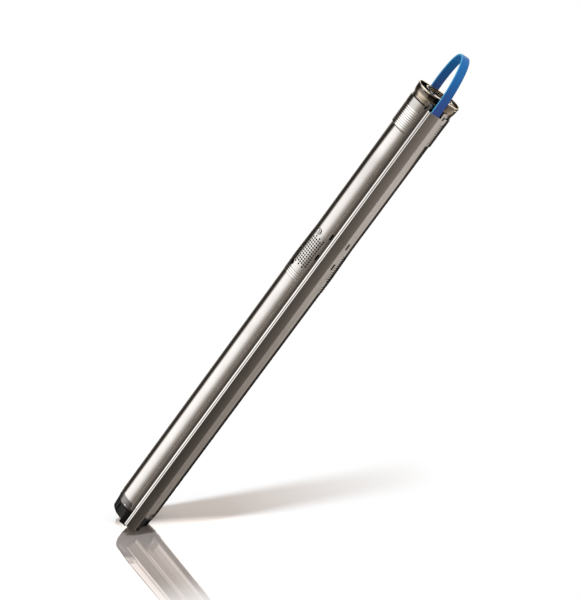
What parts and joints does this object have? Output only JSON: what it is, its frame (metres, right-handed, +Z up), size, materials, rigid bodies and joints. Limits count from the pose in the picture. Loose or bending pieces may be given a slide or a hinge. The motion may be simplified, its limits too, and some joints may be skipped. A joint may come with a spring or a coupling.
{
  "type": "borehole submersible pump",
  "caption": "Slender stainless borehole pump with canned motor, suction strainer, cable guard and a flat blue drop cable looped over its threaded discharge head.",
  "frame": {"origin": "centre of the discharge mouth, in the plane of the head's rim", "axes": "+Z up the pump's axis and out of the discharge mouth, the cable guard faces -Y, +X to the right when the guard is looked at"},
  "size_m": [0.071, 0.0781, 0.9165],
  "materials": {
    "cast_stainless": "satin, slightly bronze casting",
    "stainless_steel": "brushed and polished stainless tube",
    "guard_steel": "rolled stainless sheet",
    "machined_steel": "turned",
    "spring_steel": "drawn wire",
    "rubber": "matt",
    "rubber_seat": "matt",
    "black_composite": "glass-filled",
    "impeller_composite": "glass-filled",
    "black_rubber": "moulded",
    "blue_cable": "smooth blue sheath",
    "carbon": "fine ground",
    "lamination_steel": "varnished laminations",
    "copper": "enamelled wire",
    "magnet": "coated",
    "aluminium": "extruded",
    "board": "lacquered",
    "grey_ring": "turned, dark grey",
    "black_plastic": "satin moulding"
  },
  "bodies": {
    "pump_body": {"discharge_head": "cast_stainless", "head_o_ring": "rubber", "valve_seat": "rubber_seat", "valve_guide": "cast_stainless", "valve_spring": "spring_steel", "pump_sleeve": "stainless_steel", "top_chamber": "black_composite", "top_bearing": "rubber", "suction_interconnector": "cast_stainless", "priming_screw": "machined_steel", "cable_guard": "guard_steel", "drop_cable_run": "blue_cable", "drop_cable_loop": "blue_cable", "cable_plug": "black_rubber", "plug_seal": "rubber", "motor_head": "cast_stainless", "shaft_seal": "carbon", "upper_bearing": "carbon", "motor_tube": "stainless_steel", "stator_core": "lamination_steel", "stator_windings": "copper", "stator_can": "machined_steel", "lower_bearing_carrier": "cast_stainless", "lower_bearing": "carbon", "thrust_pads": "carbon", "thrust_plate": "machined_steel", "diaphragm": "rubber", "partition": "cast_stainless", "electronics_shell": "machined_steel", "heat_sink": "aluminium", "circuit_board": "board", "capacitors": "aluminium", "filter_choke": "lamination_steel", "end_ring": "grey_ring", "ring_screws": "machined_steel", "end_cap": "black_plastic", "stage_chamber_1": "black_composite", "stage_chamber_2": "black_composite", "stage_chamber_3": "black_composite", "stage_chamber_4": "black_composite", "stage_chamber_5": "black_composite"},
    "rotor": {"pump_shaft": "machined_steel", "shaft_nut": "machined_steel", "shaft_coupling": "machined_steel", "motor_shaft": "machined_steel", "rotor_core": "lamination_steel", "rotor_magnets": "magnet", "thrust_runner": "carbon", "impeller_1": "impeller_composite", "impeller_2": "impeller_composite", "impeller_3": "impeller_composite", "impeller_4": "impeller_composite", "impeller_5": "impeller_composite"},
    "valve": {"valve_poppet": "black_composite"}
  },
  "joints": [
    {"name": "rotor_spin", "type": "hinge", "parent": "pump_body", "child": "rotor", "pos_m": [0, 0, -0.3], "axis": [0, 0, 1], "continuous": true},
    {"name": "valve_lift", "type": "slide", "parent": "pump_body", "child": "valve", "axis": [0, 0, 1], "range_m": [0, 0.008], "stiffness_N_per_m": 200, "springref_m": -0.006, "deforming": ["valve_spring"]}
  ]
}
